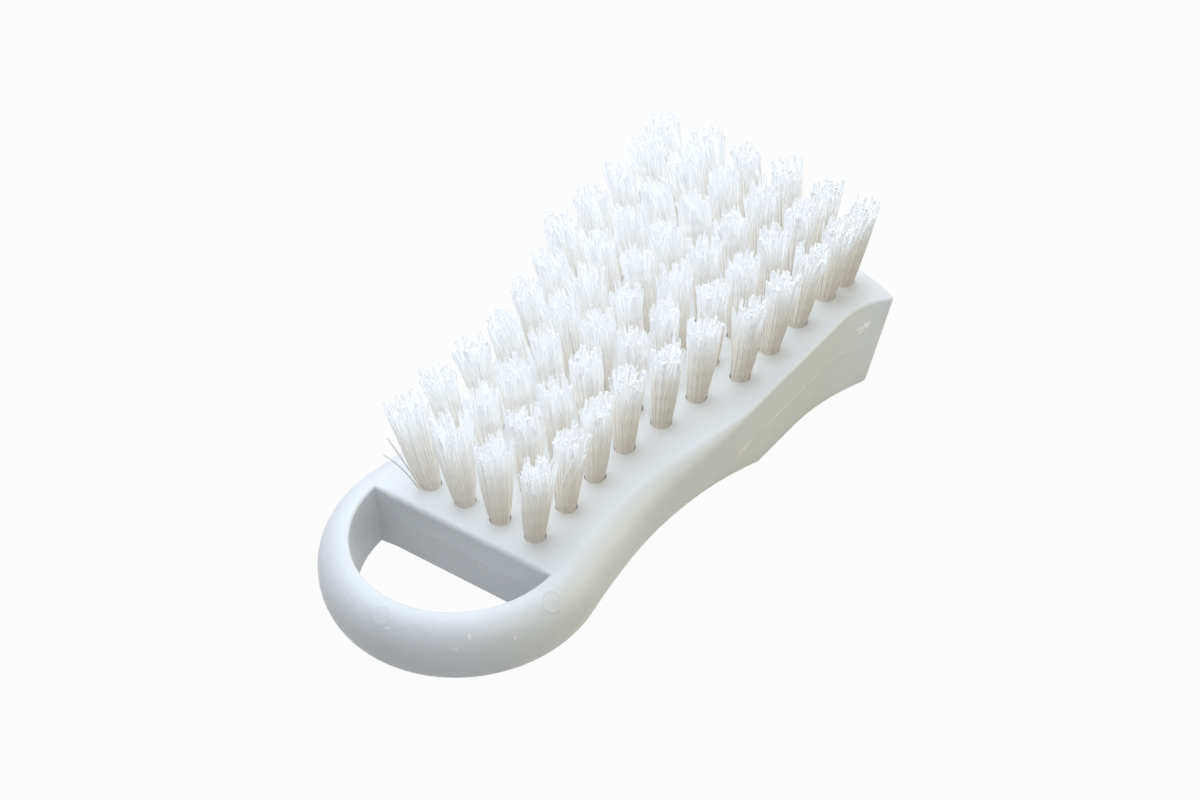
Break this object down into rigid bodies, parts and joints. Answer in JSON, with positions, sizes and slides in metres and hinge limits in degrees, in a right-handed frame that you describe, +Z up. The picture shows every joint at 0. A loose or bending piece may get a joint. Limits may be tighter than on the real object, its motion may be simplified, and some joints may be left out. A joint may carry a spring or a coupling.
{
  "type": "nail brush",
  "caption": "Hand and nail scrubbing brush: a waisted white plastic block with a D-shaped finger loop, a flared raked end and splayed tufts of stiff white bristle",
  "frame": {"origin": "under the middle of the whole brush, on the plane of the block's flat back", "axes": "+X from the finger loop to the wide end, +Z up through the bristles, +Y across the brush"},
  "size_m": [0.1397, 0.0658, 0.0374],
  "materials": {
    "block": "satin white moulded polypropylene with fine scuffs",
    "bristle": "translucent white polyester filament, cut ends bright",
    "anchors": "bright drawn flat wire"
  },
  "bodies": {
    "root": {"brush_block": "block", "anchor_staples": "anchors", "tuft_row01_1": "bristle", "tuft_row01_2": "bristle", "tuft_row01_3": "bristle", "tuft_row01_4": "bristle", "tuft_row02_1": "bristle", "tuft_row02_2": "bristle", "tuft_row02_3": "bristle", "tuft_row02_4": "bristle", "tuft_row03_1": "bristle", "tuft_row03_2": "bristle", "tuft_row03_3": "bristle", "tuft_row03_4": "bristle", "tuft_row04_1": "bristle", "tuft_row04_2": "bristle", "tuft_row04_3": "bristle", "tuft_row04_4": "bristle", "tuft_row05_1": "bristle", "tuft_row05_2": "bristle", "tuft_row05_3": "bristle", "tuft_row05_4": "bristle", "tuft_row05_5": "bristle", "tuft_row06_1": "bristle", "tuft_row06_2": "bristle", "tuft_row06_3": "bristle", "tuft_row06_4": "bristle", "tuft_row06_5": "bristle", "tuft_row07_1": "bristle", "tuft_row07_2": "bristle", "tuft_row07_3": "bristle", "tuft_row07_4": "bristle", "tuft_row07_5": "bristle", "tuft_row07_6": "bristle", "tuft_row08_1": "bristle", "tuft_row08_2": "bristle", "tuft_row08_3": "bristle", "tuft_row08_4": "bristle", "tuft_row08_5": "bristle", "tuft_row08_6": "bristle", "tuft_row09_1": "bristle", "tuft_row09_2": "bristle", "tuft_row09_3": "bristle", "tuft_row09_4": "bristle", "tuft_row09_5": "bristle", "tuft_row09_6": "bristle", "tuft_row10_1": "bristle", "tuft_row10_2": "bristle", "tuft_row10_3": "bristle", "tuft_row10_4": "bristle", "tuft_row10_5": "bristle", "tuft_row10_6": "bristle", "tuft_row11_1": "bristle", "tuft_row11_2": "bristle", "tuft_row11_3": "bristle", "tuft_row11_4": "bristle", "tuft_row11_5": "bristle", "tuft_row11_6": "bristle"}
  },
  "joints": []
}
